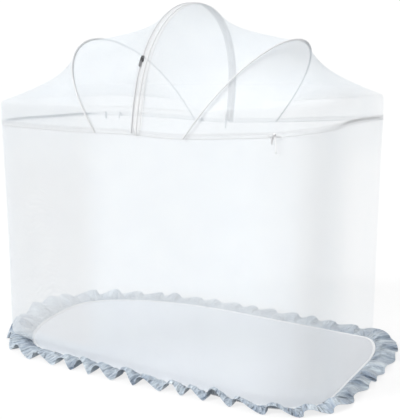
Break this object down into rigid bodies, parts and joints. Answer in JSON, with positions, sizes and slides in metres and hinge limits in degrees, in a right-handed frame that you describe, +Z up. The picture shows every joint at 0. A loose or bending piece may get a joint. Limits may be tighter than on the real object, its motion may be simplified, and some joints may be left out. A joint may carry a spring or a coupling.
{
  "type": "mosquito net canopy with hoops and base mat",
  "caption": "Baby cot mosquito net: flat bound base mat with a gathered frill, sheer net walls, a tape band with small ties, and a zipped tent-like net roof over sprung hoops.",
  "frame": {"origin": "centre of the footprint on the surface the base mat lies on", "axes": "+X along the cot to the end where the band rises highest, +Y away from the side the zip slider is on, +Z up"},
  "size_m": [1.3662, 0.841, 1.145],
  "materials": {
    "net": "fine white polyester mesh, sheer, slight satin sheen",
    "base_cloth": "plain pale blue-white woven polyester, matt, softly creased",
    "binding": "narrow woven binding tape, stitched along both edges",
    "frill_cloth": "blue-grey satin-like thin polyester, gathered",
    "tape": "white-grey woven tape with stitch lines",
    "zip_coil": "fine grey nylon coil on woven tape",
    "rod": "white fibreglass rod, smooth",
    "slider_metal": "dark grey lacquered zinc, soft gloss"
  },
  "bodies": {
    "root": {"base_mat": "base_cloth", "edge_binding": "binding", "frill": "frill_cloth", "net_wall": "net", "band": "tape", "net_roof_left": "net", "net_roof_right": "net", "rod_left": "rod", "rod_right": "rod", "rod_centre": "rod", "casing_left": "tape", "casing_right": "tape", "casing_centre": "tape", "zip_coil": "zip_coil", "zip_slider": "slider_metal", "zip_pull": "slider_metal", "tie_near_right": "tape", "tie_far_left": "tape", "tie_far_centre": "tape", "band_tab": "tape", "zip_end_tab": "tape"}
  },
  "joints": []
}
